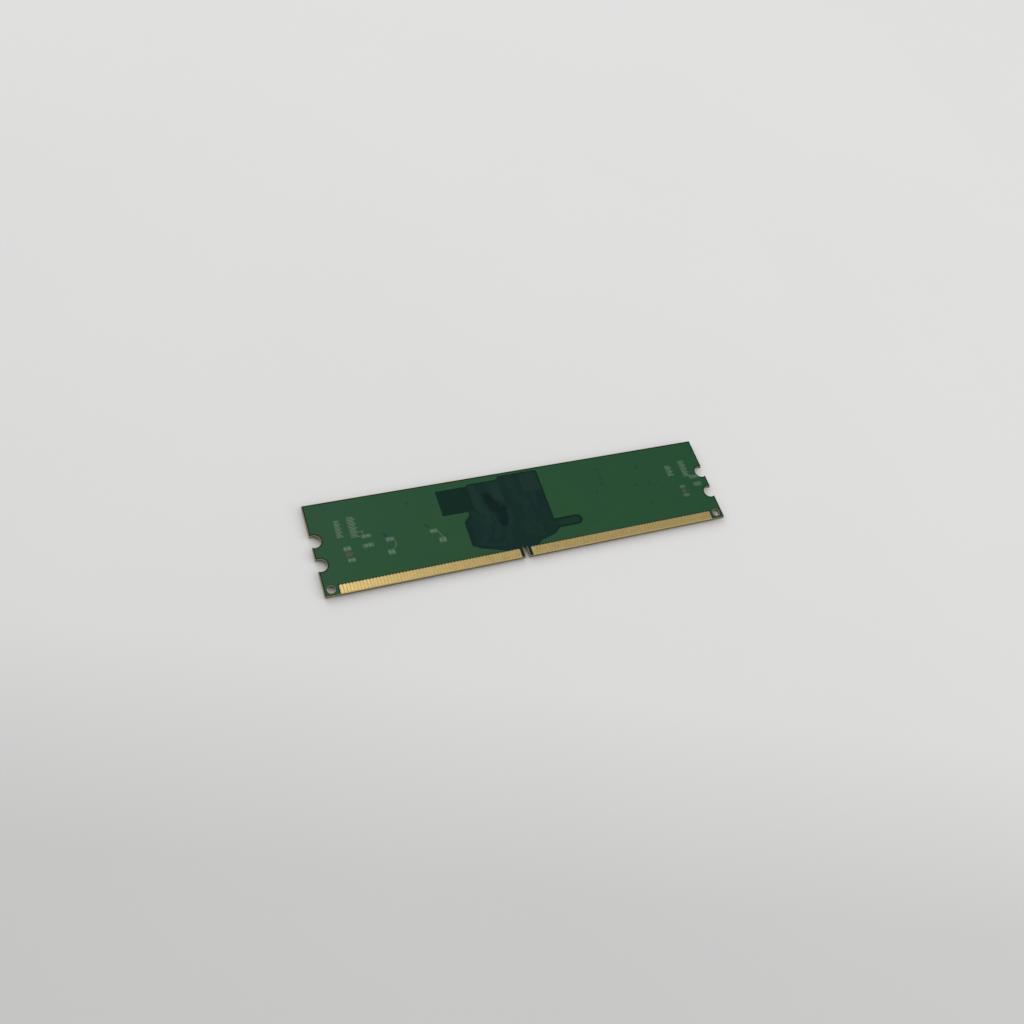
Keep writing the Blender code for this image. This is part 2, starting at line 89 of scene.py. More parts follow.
# Contacts, each with a neck above it and a plating stub below it
CONTACT_EDGE = 0.018 * MM
CONTACT_CORNER = 0.12 * MM
NECK_SIZE = (0.24 * MM, 0.44 * MM)
NECK_SHIFT = 0.10 * MM
STUB_SIZE = (0.14 * MM, 0.22 * MM)
STUB_SHIFT = 0.09 * MM
NECK_EDGE = 0.01 * MM
NECK_SINK = 0.008 * MM
NECK_THICKNESS = 0.8  # share of the contact's

# Tracks and vias: joined vias stand over the copper, and isolated ones in openings in it
TRACK_WIDTH = 0.14 * MM
BACK_TRACK_HEIGHT = 0.03 * MM
FRONT_TRACK_HEIGHT = 0.026 * MM
FRONT_TRACK_SINK = 0.012 * MM
VIA_RADIUS = 0.24 * MM
VIA_CLEARANCE = 0.10 * MM
VIA_TO_TRACK = 0.48 * MM
JOINED_VIA_SINK = 0.016 * MM
JOINED_VIA_HEIGHT = 0.022 * MM
ISOLATED_VIA_HEIGHT = 0.036 * MM
ROUTING_VIA_RADIUS = 0.8 * VIA_RADIUS
ROUTING_VIA_HEIGHT = 0.034 * MM
ROUTING_VIA_SPACING = 2.2 * VIA_RADIUS

# Camera: what it aims at, how far off it is, and its angles in degrees
CAMERA_AIM = Vector((-3.04, 1.84, 0.0)) * MM
CAMERA_DISTANCE = 309.3 * MM
CAMERA_AZIMUTH = 40.91
CAMERA_ELEVATION = 57.37
CAMERA_ROLL = 25.67
CAMERA_LENS = 34.63
CAMERA_CLIP_START = 10.0 * MM

BOARD_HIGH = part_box("laminate_back")[1]
HALF_LENGTH = BOARD_HIGH.x
HALF_HEIGHT = BOARD_HIGH.y

# Levels of each face of the board, and which way it faces along z
BACK = {
    "laminate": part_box("laminate_back")[1].z,
    "surface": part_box("solder_mask_back")[1].z - MARK_HEADROOM,
    "contact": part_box("contacts_back_left")[1].z,
    "out": 1.0,
}
FRONT = {
    "laminate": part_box("laminate_front")[0].z,
    "surface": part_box("solder_mask_front")[0].z,
    "contact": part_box("contacts_front_left")[0].z,
    "out": -1.0,
}

# Boxes of the parts on the front, each as its low and high corners
PACKAGES = [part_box(f"memory_{i}_moulded_cap") for i in range(1, 9)]
PACKAGE_CENTRES = [(low + high) / 2 for low, high in PACKAGES]
NETWORKS = [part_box(f"resistor_network_{i:02d}") for i in range(1, 17)]


# ---- materials


class Graph:
    """A material's node graph around one Principled shader, in object coordinates."""

    def __init__(self, name, colour, roughness, metallic=0.0, specular=0.5):
        self.material = bpy.data.materials.new(name)
        self.material.use_nodes = True
        self.nodes = self.material.node_tree.nodes
        self.links = self.material.node_tree.links
        self.shader = self.nodes["Principled BSDF"]
        values = {"Roughness": roughness, "Metallic": metallic, "Specular_IOR_Level": specular}
        self.fill(self.shader, {"Base_Color": (*colour, 1.0), **values})
        self.place = self.node("TexCoord").outputs["Object"]

    def fill(self, node, values):
        """Sets some of a node's inputs. An underscore in a name stands for a space."""
        for name, value in values.items():
            node.inputs[name.replace("_", " ")].default_value = value

    def node(self, kind, **values):
        node = self.nodes.new(f"ShaderNode{kind}")
        self.fill(node, values)
        return node

    def feed(self, socket, source):
        self.links.new(source, self.shader.inputs[socket])

    def noise(self, scale, detail, stretch=(1.0, 1.0, 1.0), rough=0.5):
        mapping = self.node("Mapping", Scale=stretch)
        self.links.new(self.place, mapping.inputs["Vector"])
        node = self.node("TexNoise", Scale=scale, Detail=detail, Roughness=rough)
        self.links.new(mapping.outputs["Vector"], node.inputs["Vector"])
        return node.outputs["Fac"]

    def cells(self, scale):
        node = self.node("TexVoronoi", Scale=scale)
        self.links.new(self.place, node.inputs["Vector"])
        return node.outputs["Distance"]

    def wave(self, scale, direction, distortion, detail_scale):
        node = self.node("TexWave", Scale=scale, Distortion=distortion, Detail_Scale=detail_scale)
        node.bands_direction = direction
        self.links.new(self.place, node.inputs["Vector"])
        return node.outputs["Fac"]

    def upward(self):
        """How nearly a face lies flat: 1 on the board's faces and 0 on its edges."""
        parts = self.node("SeparateXYZ")
        self.links.new(self.node("TexCoord").outputs["Normal"], parts.inputs["Vector"])
        return self.math("ABSOLUTE", parts.outputs["Z"], 0.0)

    def along(self, direction):
        """Distance from the origin along a direction."""
        node = self.node("VectorMath")
        node.operation = "DOT_PRODUCT"
        node.inputs[1].default_value = direction
        self.links.new(self.place, node.inputs[0])
        return node.outputs["Value"]

    def spread(self, source, low, high, from_low=0.3, from_high=0.7):
        """Maps a texture's middle range to low and high."""
        node = self.node("MapRange", From_Min=from_low, From_Max=from_high, To_Min=low, To_Max=high)
        self.links.new(source, node.inputs["Value"])
        return node.outputs["Result"]

    def math(self, operation, a, b):
        node = self.node("Math")
        node.operation = operation
        for socket, value in zip(node.inputs, (a, b)):
            if isinstance(value, (int, float)):
                socket.default_value = value
            else:
                self.links.new(value, socket)
        return node.outputs["Value"]

    def blend(self, factor, first, second):
        """Mixes two colours, each a tuple or a node's output."""
        node = self.node("Mix")
        node.data_type = "RGBA"
        self.links.new(factor, node.inputs["Factor"])
        # Inputs 6 and 7 and output 2 are the ones for colours
        for socket, value in ((node.inputs[6], first), (node.inputs[7], second)):
            if isinstance(value, tuple):
                socket.default_value = (*value, 1.0)
            else:
                self.links.new(value, socket)
        return node.outputs[2]

    def mottled(self, source, first, second, share=1.0, from_low=0.3, from_high=0.7):
        """Blends up to a share of the second colour into the first, where a texture is high."""
        return self.blend(self.spread(source, 0.0, share, from_low, from_high), first, second)

    def finished(self, colour, roughness, height, distance, strength):
        """Feeds the shader its colour, roughness and bump, and hands over the material."""
        bump = self.node("Bump", Distance=distance, Strength=strength)
        self.links.new(height, bump.inputs["Height"])
        self.feed("Normal", bump.outputs["Normal"])
        self.feed("Base Color", colour)
        self.feed("Roughness", roughness)
        return self.material


CLOTH_PITCH = 0.55 * MM


def scaled(colour, factor):
    return tuple(factor * channel for channel in colour)


def weave(graph):
    """Height of the laminate's glass cloth: two crossed sets of yarns."""
    # A wave texture of scale 1 repeats every 2 pi / 20 units
    scale = 2.0 * math.pi / 20.0 / CLOTH_PITCH
    across = graph.wave(scale, "X", 1.2, 0.6)
    along = graph.wave(scale, "Y", 1.2, 0.6)
    return graph.math("MAXIMUM", across, along)


def mask_material(name, colour, weave_strength, gloss):
    """Solder mask: a satin coat with a slight orange peel, dust and the cloth's faint print."""
    graph = Graph(name, colour, 0.4, specular=gloss)
    fine = graph.noise(5200.0, 4.0)
    cloth = weave(graph)
    bluish = (0.95 * colour[0], 0.97 * colour[1], 1.12 * colour[2])
    yellowish = (1.08 * colour[0], 1.04 * colour[1], 0.84 * colour[2])
    tone = graph.mottled(graph.noise(90.0, 2.0), bluish, yellowish)
    tone = graph.mottled(fine, tone, scaled(colour, 1.15), 0.5)
    tone = graph.mottled(cloth, tone, scaled(colour, 1.9), weave_strength, 0.5, 1.0)
    dust = graph.spread(graph.cells(900.0), 1.0, 0.0, 0.03, 0.06)
    tone = graph.blend(graph.math("MULTIPLY", dust, 0.2), tone, (0.30, 0.31, 0.29))
    rough = graph.spread(graph.noise(420.0, 5.0), 0.34, 0.50)
    height = graph.math("ADD", graph.math("MULTIPLY", fine, 0.35), graph.math("MULTIPLY", cloth, 0.5))
    return graph.finished(tone, rough, height, 0.006 * MM, 0.6)


def gold_material():
    """Contact gold: fine wipe marks along Y from the socket, and duller patches."""
    graph = Graph("gold_plating", (0.74, 0.56, 0.24), 0.30, metallic=1.0)
    wipes = graph.noise(9000.0, 3.0, (1.0, 0.04, 1.0))
    patches = graph.noise(650.0, 4.0)
    tone = graph.mottled(patches, (0.83, 0.61, 0.245), (0.73, 0.53, 0.20))
    tone = graph.mottled(wipes, tone, (0.60, 0.43, 0.16), 0.3)
    rough = graph.math("ADD", graph.spread(wipes, 0.20, 0.30), graph.spread(patches, 0.0, 0.12))
    return graph.finished(tone, rough, wipes, 0.004 * MM, 0.5)


def laminate_material():
    """Glass-epoxy: dark layers of yarn and resin on the routed edges, darkened further with painted shade,
    and clear resin on the flat faces.
    """
    graph = Graph("glass_epoxy", (0.12, 0.092, 0.05), 0.75)
    yarns = graph.noise(900.0, 4.0, (1.0, 1.0, 9.0))
    fibres = graph.noise(7000.0, 4.0, (0.25, 0.25, 2.2))
    cut_edge_and_painted_shade = graph.mottled(yarns, (0.085, 0.064, 0.034), (0.165, 0.13, 0.075))
    cut_edge_and_painted_shade = graph.mottled(fibres, cut_edge_and_painted_shade, (0.25, 0.21, 0.13), 0.4)
    resin = graph.mottled(weave(graph), (0.44, 0.34, 0.14), (0.54, 0.43, 0.20), 1.0, 0.5, 1.0)
    # Faces told apart by their normals: the edges take the dark colour, partly the cut's own yarns and
    # partly painted shade on the walls
    tone = graph.mottled(graph.upward(), cut_edge_and_painted_shade, resin, 1.0, 0.80, 0.95)
    rough = graph.spread(fibres, 0.62, 0.88)
    return graph.finished(tone, rough, graph.math("ADD", yarns, fibres), 0.03 * MM, 0.7)


def moulding_material():
    """Filled black epoxy: a fine matte grain with lighter filler specks and faint flow marks."""
    colour = (0.020, 0.020, 0.022)
    graph = Graph("black_moulding", colour, 0.6, specular=0.4)
    grain = graph.noise(14000.0, 5.0, rough=0.7)
    flow = graph.noise(260.0, 3.0, (1.0, 0.35, 1.0))
    specks = graph.spread(graph.cells(5200.0), 1.0, 0.0, 0.10, 0.22)
    tone = graph.mottled(flow, scaled(colour, 0.8), scaled(colour, 1.5))
    tone = graph.blend(graph.math("MULTIPLY", specks, 0.25), tone, (0.10, 0.10, 0.10))
    return graph.finished(tone, graph.spread(flow, 0.52, 0.70), grain, 0.012 * MM, 0.8)


def plated_material(name, colour, roughness):
    """Tin, solder, copper or silicon: a frosted metal with small duller islands."""
    graph = Graph(name, colour, roughness, metallic=1.0)
    islands = graph.noise(3000.0, 4.0)
    tone = graph.mottled(islands, scaled(colour, 0.78), scaled(colour, 1.06))
    rough = graph.spread(islands, roughness - 0.08, roughness + 0.14)
    return graph.finished(tone, rough, islands, 0.01 * MM, 0.5)


def ceramic_material(name, colour, roughness):
    """Fired ceramic: a granular body with soft tonal drift."""
    graph = Graph(name, colour, roughness)
    grain = graph.noise(6000.0, 5.0, rough=0.7)
    tone = graph.mottled(graph.noise(700.0, 3.0), scaled(colour, 0.82), scaled(colour, 1.12))
    tone = graph.mottled(grain, tone, scaled(colour, 0.7), 0.5)
    rough = graph.spread(grain, roughness - 0.08, roughness + 0.1)
    return graph.finished(tone, rough, grain, 0.01 * MM, 0.6)


def print_material(name, colour):
    """Screen-printed ink: thin, a little uneven, so that the mask shows through in places."""
    graph = Graph(name, colour, 0.6, specular=0.3)
    thin = graph.noise(4200.0, 4.0)
    tone = graph.mottled(thin, colour, scaled(colour, 0.55), 0.7)
    return graph.finished(tone, graph.spread(thin, 0.52, 0.72), thin, 0.004 * MM, 0.5)


MASK_OVER_COPPER = mask_material("mask_over_copper", (0.0148, 0.0700, 0.0282), 0.02, 0.20)
MASK_OVER_LAMINATE = mask_material("mask_over_laminate", (0.0014, 0.0185, 0.0128), 0.04, 0.12)
MASK_OVER_VOID = mask_material("mask_over_void", (0.0002, 0.0120, 0.0106), 0.04, 0.12)
MASK_OVER_PLANE = mask_material("mask_over_plane", (0.0036, 0.0222, 0.0176), 0.03, 0.12)
MASK_OVER_FOIL = mask_material("mask_over_foil", (0.0075, 0.0285, 0.0225), 0.02, 0.12)
MASK_OVER_TRACK = mask_material("mask_over_track", (0.0075, 0.0310, 0.0235), 0.0, 0.14)
GOLD = gold_material()
LAMINATE = laminate_material()
MOULDING = moulding_material()
SOLDER = plated_material("solder", (0.62, 0.62, 0.60), 0.34)
TIN = plated_material("tin_plate", (0.68, 0.67, 0.64), 0.30)
COPPER = plated_material("copper_foil", (0.78, 0.38, 0.22), 0.34)
SILICON = plated_material("silicon", (0.16, 0.16, 0.18), 0.22)
SUBSTRATE = ceramic_material("package_substrate", (0.040, 0.105, 0.040), 0.5)
CAPACITOR = ceramic_material("capacitor_ceramic", (0.30, 0.205, 0.125), 0.5)
ALUMINA = ceramic_material("alumina", (0.72, 0.71, 0.67), 0.55)
GLAZE = ceramic_material("black_glaze", (0.022, 0.022, 0.026), 0.38)
PALE_INK = print_material("pale_ink", (0.070, 0.138, 0.089))
WHITE_INK = print_material("white_ink", (0.17, 0.25, 0.185))
RED_INK = print_material("red_ink", (0.078, 0.086, 0.056))
PAD_TIN = plated_material("levelled_pad", (0.150, 0.255, 0.175), 0.5)


# ---- geometry helpers

WELD_DISTANCE = 0.0002 * MM
LEVEL_NORMAL = 0.9999  # least z of a level face's normal


def arc(centre, radius, start, end, steps):
    """Points along an arc, both ends included. The angles are in degrees."""
    angles = [math.radians(start + (end - start) * i / steps) for i in range(steps + 1)]
    return [(centre[0] + radius * math.cos(a), centre[1] + radius * math.sin(a)) for a in angles]


def shares_of(size, shares):
    return [share * length for share, length in zip(shares, size)]


def circle(centre, radius, steps=20):
    return arc(centre, radius, 0.0, 360.0, steps)[:-1]


def rounded_rectangle(left, bottom, right, top, radius, steps=3):
    corners = (
        ((right - radius, bottom + radius), -90.0),
        ((right - radius, top - radius), 0.0),
        ((left + radius, top - radius), 90.0),
        ((left + radius, bottom + radius), 180.0),
    )
    points = []
    for centre, start in corners:
        points += arc(centre, radius, start, start + 90.0, steps)
    return points


def link(item):
    bpy.context.scene.collection.objects.link(item)


def in_mm(points):
    return [(x * MM, y * MM) for x, y in points]


def add_piece(name, shell, materials, replaces=(), smooth_angle=35.0):
    """Makes a shell into a piece of the module. Level faces are shaded flat, and the rest smooth."""
    mesh = bpy.data.meshes.new(name)
    shell.to_mesh(mesh)
    shell.free()
    mesh.shade_smooth()
    mesh.set_sharp_from_angle(angle=math.radians(smooth_angle))
    for polygon in mesh.polygons:
        if abs(polygon.normal.z) > LEVEL_NORMAL:
            polygon.use_smooth = False
    for material in materials:
        mesh.materials.append(material)
    piece = bpy.data.objects.new(name, mesh)
    link(piece)
    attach(piece, "root")
    if replaces:
        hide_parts(*replaces)


def add_polylines(curve, paths, closed):
    for points in paths:
        spline = curve.splines.new("POLY")
        spline.points.add(len(points) - 1)
        for point, (x, y) in zip(spline.points, points):
            point.co = (x, y, 0.0, 1.0)
        spline.use_cyclic_u = closed


def shell_of_curve(curve):
    """The surface of a curve, with its caps welded on. The curve itself is removed."""
    holder = bpy.data.objects.new("curve", curve)
    link(holder)
    bpy.context.view_layer.update()
    evaluated = holder.evaluated_get(bpy.context.evaluated_depsgraph_get())
    mesh = bpy.data.meshes.new_from_object(evaluated)
    bpy.data.objects.remove(holder)
    bpy.data.curves.remove(curve)
    shell = bmesh.new()
    shell.from_mesh(mesh)
    bmesh.ops.remove_doubles(shell, verts=shell.verts, dist=WELD_DISTANCE)
    bpy.data.meshes.remove(mesh)
    return shell


def plate_shell(outlines, low, high, edge=0.0):
    """A flat plate with rounded edges. Outlines inside others are holes."""
    curve = bpy.data.curves.new("plate", "CURVE")
    curve.dimensions = "2D"
    curve.fill_mode = "BOTH"
    curve.extrude = (high - low) / 2 - edge
    curve.bevel_depth = edge
    curve.bevel_resolution = 1
    curve.offset = -edge
    add_polylines(curve, outlines, closed=True)
    shell = shell_of_curve(curve)
    bmesh.ops.translate(shell, vec=(0.0, 0.0, (low + high) / 2), verts=shell.verts)
    return shell


def offset_path(points, offset):
    """A polyline parallel to another, with its corners mitred."""
    moved = []
    for index, point in enumerate(points):
        before = points[max(index - 1, 0)]
        after = points[min(index + 1, len(points) - 1)]
        normals = []
        for (x0, y0), (x1, y1) in ((before, point), (point, after)):
            length = math.hypot(x1 - x0, y1 - y0)
            if length > 0.0:
                normals.append((-(y1 - y0) / length, (x1 - x0) / length))
        nx = sum(n[0] for n in normals) / len(normals)
        ny = sum(n[1] for n in normals) / len(normals)
        stretch = offset / (nx * nx + ny * ny)
        moved.append((point[0] + nx * stretch, point[1] + ny * stretch))
    return moved


def moved_on(start, end, distance):
    """The point that lies a distance past end, coming from start."""
    length = math.dist(start, end)
    return tuple(e + (e - s) / length * distance for s, e in zip(start, end))


def gap_to_path(place, path):
    """Distance from a point to the nearest point of a polyline."""
    gaps = []
    for start, end in zip(path, path[1:]):
        along = Vector(end) - Vector(start)
        reach = (Vector(place) - Vector(start)).dot(along) / along.length_squared
        nearest = Vector(start) + along * min(max(reach, 0.0), 1.0)
        gaps.append((Vector(place) - nearest).length)
    return min(gaps)


def bundle(points, count, pitch):
    """Parallel tracks, side by side about a route."""
    return [offset_path(points, (i - (count - 1) / 2) * pitch) for i in range(count)]


def track_shell(paths, base, height):
    """Coated tracks: low rounded ridges that stand on the level called base."""
    curve = bpy.data.curves.new("tracks", "CURVE")
    curve.dimensions = "3D"
    curve.bevel_depth = TRACK_WIDTH / 2
    curve.bevel_resolution = 2
    curve.use_fill_caps = True
    add_polylines(curve, paths, closed=False)
    shell = shell_of_curve(curve)
    flatten = (1.0, 1.0, height / (TRACK_WIDTH / 2))
    bmesh.ops.scale(shell, vec=flatten, verts=shell.verts)
    bmesh.ops.translate(shell, vec=(0.0, 0.0, base), verts=shell.verts)
    return shell


def turned_shell(places, profile, steps, material=0):
    """Solids of revolution at several places. The profile gives each ring's radius and z."""
    shell = bmesh.new()
    for x, y in places:
        rings = []
        for radius, z in profile:
            if radius > 0.0:
                rings.append([shell.verts.new((px, py, z)) for px, py in circle((x, y), radius, steps)])
            else:
                rings.append([shell.verts.new((x, y, z))] * steps)
        made = []
        for lower, upper in zip(rings, rings[1:]):
            for i in range(steps):
                j = (i + 1) % steps
                # Next to a point on the axis, two corners are the same one
                corners = dict.fromkeys((lower[i], lower[j], upper[j], upper[i]))
                made.append(shell.faces.new(list(corners)))
        for ring in (rings[0][::-1], rings[-1]):
            if ring[0] is not ring[1]:
                made.append(shell.faces.new(ring))
        for face in made:
            face.material_index = material
    bmesh.ops.recalc_face_normals(shell, faces=shell.faces)
    return shell


# Radius and height of a via's rings, as shares of its own: a bump with a dimple over the hole
VIA_PROFILE = ((1.0, -0.4), (0.93, 0.55), (0.74, 1.0), (0.48, 0.92), (0.30, 0.35), (0.0, 0.10))
VIA_STEPS = 14


def via_shell(places, face, base, height, radius=VIA_RADIUS):
    """Coated vias, which stand out from the level called base."""
    profile = [(reach * radius, base + face["out"] * rise * height) for reach, rise in VIA_PROFILE]
    return turned_shell(places, profile, VIA_STEPS)


def add_block(shell, centre, size, edge, material=0):
    """A block with rounded edges, added to a shell."""
    part = bmesh.new()
    bmesh.ops.create_cube(part, size=1.0)
    bmesh.ops.scale(part, vec=size, verts=part.verts)
    bmesh.ops.bevel(part, geom=part.edges, offset=edge, segments=2, profile=0.5, affect="EDGES")
    bmesh.ops.translate(part, vec=centre, verts=part.verts)
    for face in part.faces:
        face.material_index = material
    join_shell(shell, part)


def join_shell(shell, part):
    """Moves one shell's faces into another, with their materials."""
    copies = {v: shell.verts.new(v.co) for v in part.verts}
    for face in part.faces:
        made = shell.faces.new([copies[v] for v in face.verts])
        made.material_index = face.material_index
        made.smooth = face.smooth
    part.free()


# ---- board outlines


def latch_notches(side, inset, steps=28):
    """The two notches in one end. The right end runs upwards, and the left end downwards."""
    radius = LATCH_NOTCH_RADIUS + inset
    mouth = math.degrees(math.acos((LATCH_NOTCH_INSET - inset) / radius))
    heights = LATCH_NOTCH_HEIGHTS if side > 0 else LATCH_NOTCH_HEIGHTS[::-1]
    points = []
    for height in heights:
        centre = (side * (HALF_LENGTH - LATCH_NOTCH_INSET), -HALF_HEIGHT + height)
        start, end = (-mouth, mouth - 360.0) if side > 0 else (180.0 - mouth, mouth - 180.0)
        points += arc(centre, radius, start, end, steps)
    return points


def key_notch(inset, bottom, steps=18):
    radius = KEY_WIDTH / 2 + inset
    centre = (KEY_X, -HALF_HEIGHT + KEY_DEPTH - KEY_WIDTH / 2)
    return [(KEY_X - radius, bottom)] + arc(centre, radius, 180.0, 0.0, steps) + [(KEY_X + radius, bottom)]


def contact_banks(face_name):
    """Each bank's first contact centre, contact count and lower end, left bank first."""
    banks = []
    for side in ("left", "right"):
        low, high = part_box(f"contacts_{face_name}_{side}")
        count = round((high.x - low.x - CONTACT_WIDTH) / CONTACT_PITCH) + 1
        banks.append((low.x + CONTACT_WIDTH / 2, count, low.y))
    return banks


def contact_window(bank, bottom):
    """The opening in the mask around one bank."""
    first, count, low_y = bank
    reach = CONTACT_WIDTH / 2 + WINDOW_MARGIN
    left, right = first - reach, first + (count - 1) * CONTACT_PITCH + reach
    top = low_y + CONTACT_LENGTH + 0.5 * WINDOW_MARGIN
    return [(left, bottom), (left, top), (right, top), (right, bottom)]


def board_outline(inset, lower_edge):
    """Anticlockwise outline. The lower edge runs from the lower left corner to the lower right one."""
    right, top = HALF_LENGTH - inset, HALF_HEIGHT - inset
    ends = latch_notches(1, inset) + [(right, top), (-right, top)] + latch_notches(-1, inset)
    return lower_edge + ends


def low_edge(banks):
    """Lower edge of the mask over laminate: it leaves the contacts' windows free."""
    right, bottom = HALF_LENGTH - MASK_INSET, -HALF_HEIGHT + MASK_INSET
    windows = [contact_window(bank, bottom) for bank in banks]
    return [(-right, bottom)] + windows[0] + key_notch(MASK_INSET, bottom) + windows[1] + [(right, bottom)]


def high_edge(banks, middle):
    """Lower edge of the mask over copper: above the contacts, but down into both corners."""
    right, bottom = HALF_LENGTH - POUR_INSET, -HALF_HEIGHT + CORNER_INSET
    windows = [contact_window(bank, bottom) for bank in banks]
    outer, above = windows[0][1][0] - POUR_TO_CONTACTS, windows[0][1][1] + POUR_TO_CONTACTS
    far = windows[1][2][0] + POUR_TO_CONTACTS
    start = [(-right, bottom), (outer, bottom), (outer, above)]
    return start + middle(above) + [(far, above), (far, bottom), (right, bottom)]


def corner_holes(inset):
    x, y = HALF_LENGTH - CORNER_HOLE_INSET, -HALF_HEIGHT + CORNER_HOLE_HEIGHT
    return [circle((side * x, y), CORNER_HOLE_RADIUS + inset, 40) for side in (-1, 1)]


def routed_area(bottom):
    """Edge of the area of the back that the copper leaves free, from lower left round to lower right."""
    left_part = [(-10.2, None), (-14.5, -10.4), (-17.4, -9.6), (-20.0, -8.1), (-20.0, 0.2), (-18.0, 1.9)]
    left_part += [(-17.7, 3.4), (-26.0, 3.4), (-26.0, 12.2), (-16.0, 12.2), (-15.5, 12.8)]
    left_part += [(-5.6, 12.8), (-4.6, 14.0), (8.2, 14.0), (8.7, 13.5), (8.7, -4.2)]
    finger = arc((16.2, -5.9), 1.7, 90.0, -90.0, 12)
    right_part = [(9.5, -7.6), (7.3, -9.3), (2.0, -10.7), (0.9, None)]
    points = left_part + finger + right_part
    return [(x * MM, bottom if y is None else y * MM) for x, y in points]


# ---- the board


def add_low_mask(face_name, face):
    """Mask over bare laminate: the lower coat, outside the contacts' windows. Gives its surface's z."""
    outline = board_outline(MASK_INSET, low_edge(contact_banks(face_name)))
    thickness = abs(face["surface"] - face["laminate"]) - MASK_STEP
    base = face["laminate"] + face["out"] * thickness
    low, high = sorted((face["laminate"] + face["out"] * COAT_GAP, base))
    shell = plate_shell([outline] + corner_holes(MASK_INSET), low, high, LOW_MASK_EDGE)
    replaced = (f"solder_mask_{face_name}", f"copper_{face_name}")
    add_piece(f"mask_low_{face_name}", shell, [MASK_OVER_LAMINATE], replaced)
    return base


def add_high_mask(face_name, face, base, middle, isolated):
    """Mask over copper: the raised coat, with an opening around each isolated via."""
    outline = board_outline(POUR_INSET, high_edge(contact_banks(face_name), middle))
    openings = [circle(place, VIA_RADIUS + VIA_CLEARANCE) for place in isolated]
    low, high = sorted((base - face["out"] * OVERLAP, face["surface"]))
    outlines = [outline] + corner_holes(CORNER_INSET) + openings
    shell = plate_shell(outlines, low, high, HIGH_MASK_EDGE)
    add_piece(f"mask_high_{face_name}", shell, [MASK_OVER_COPPER])


def add_vias(name, face, base, joined, isolated):
    """Joined vias on the mask over copper, and isolated ones on the mask over laminate."""
    sunk = face["surface"] - face["out"] * JOINED_VIA_SINK
    shell = via_shell(joined, face, sunk, JOINED_VIA_HEIGHT)
    join_shell(shell, via_shell(isolated, face, base, ISOLATED_VIA_HEIGHT))
    add_piece(name, shell, [MASK_OVER_COPPER], smooth_angle=50.0)


def finger_outline(x, low_y):
    """One contact, with rounded corners."""
    half = CONTACT_WIDTH / 2
    return rounded_rectangle(x - half, low_y, x + half, low_y + CONTACT_LENGTH, CONTACT_CORNER)


def add_contacts(face_name, face):
    """Each bank's separate contacts, with the necks that lead up under the mask and the stubs below."""
    low, high = sorted((face["laminate"] + face["out"] * COAT_GAP, face["contact"]))
    z = (low + high) / 2 - face["out"] * NECK_SINK
    thickness = NECK_THICKNESS * (high - low)
    for side, (first, count, low_y) in zip(("left", "right"), contact_banks(face_name)):
        centres = [first + i * CONTACT_PITCH for i in range(count)]
        shell = plate_shell([finger_outline(x, low_y) for x in centres], low, high, CONTACT_EDGE)
        for x in centres:
            neck_y = low_y + CONTACT_LENGTH + NECK_SHIFT
            add_block(shell, (x, neck_y, z), (*NECK_SIZE, thickness), NECK_EDGE)
            add_block(shell, (x, low_y - STUB_SHIFT, z), (*STUB_SIZE, thickness), NECK_EDGE)
        replaced = (f"contacts_{face_name}_{side}",)
        add_piece(f"contact_fingers_{face_name}_{side}", shell, [GOLD], replaced)


# Vias that stand alone in openings of the back's copper: x, y in mm
ISOLATED_VIAS = (
    *((-45.2, 1.3), (-44.8, 0.6), (-32.1, 1.5), (-31.6, 0.9), (-35.6, 9.9)),
    *((26.2, 1.9), (29.4, 10.2), (29.6, 8.4), (29.2, 6.6), (29.0, 4.9), (40.6, 2.2)),
    *((43.4, 9.0), (42.9, 8.0), (43.5, -5.4), (45.3, 2.0), (48.9, 1.7)),
)

# Stitching vias behind each package: columns about its centre, and rows, in mm
STITCH_COLUMNS = (-2.6, -1.1, 1.1, 2.6)
STITCH_ROWS = 11
STITCH_PITCH = 0.85
STITCH_SHARE = 0.5
STITCH_LOOSENESS = (0.12, 0.1)

# A single row of vias along the top edge
EDGE_VIAS = 28
EDGE_VIA_MARGIN = 3.2 * MM
EDGE_VIA_DEPTH = 1.35 * MM

# Boxes around the routed area and its finger: left, bottom, right, top in mm
ROUTED_BOXES = ((-27.5, -15.0, 10.2, 15.0), (10.0, -9.0, 19.2, -2.6))
MARKED_ENDS_X = 51.0
CLEAR_OF_MARKS = 0.5
CLEAR_OF_VIAS = 0.8


def stitching_vias(rng):
    """Vias that tie the back copper to the ground plane: loose columns, and a row along the top."""
    places = []
    loose_x, loose_y = STITCH_LOOSENESS
    for centre in PACKAGE_CENTRES:
        for column in STITCH_COLUMNS:
            for row in range(STITCH_ROWS):
                x = centre.x + (column + rng.uniform(-loose_x, loose_x)) * MM
                y = centre.y + (row - STITCH_ROWS // 2) * STITCH_PITCH * MM
                y += rng.uniform(-loose_y, loose_y) * MM
                if rng.random() < STITCH_SHARE:
                    places.append((x, y))
    for i in range(EDGE_VIAS):
        x = -HALF_LENGTH + EDGE_VIA_MARGIN + i * 2 * (HALF_LENGTH - EDGE_VIA_MARGIN) / (EDGE_VIAS - 1)
        places.append((x, HALF_HEIGHT - EDGE_VIA_DEPTH))
    return [place for place in places if clear_of_others(place)]


def in_any_box(x, y, boxes, margin=0.0):
    return any(
        left - margin < x < right + margin and bottom - margin < y < top + margin
        for left, bottom, right, top in boxes
    )


def clear_of_others(place):
    """Whether a via's place is well clear of the routed area, the marks and the isolated vias."""
    x, y = place[0] / MM, place[1] / MM
    if in_any_box(x, y, ROUTED_BOXES) or in_any_box(x, y, PAD_MARKS, CLEAR_OF_MARKS):
        return False
    nearest = min(math.dist((x, y), other) for other in ISOLATED_VIAS)
    return abs(x) < MARKED_ENDS_X and nearest > CLEAR_OF_VIAS


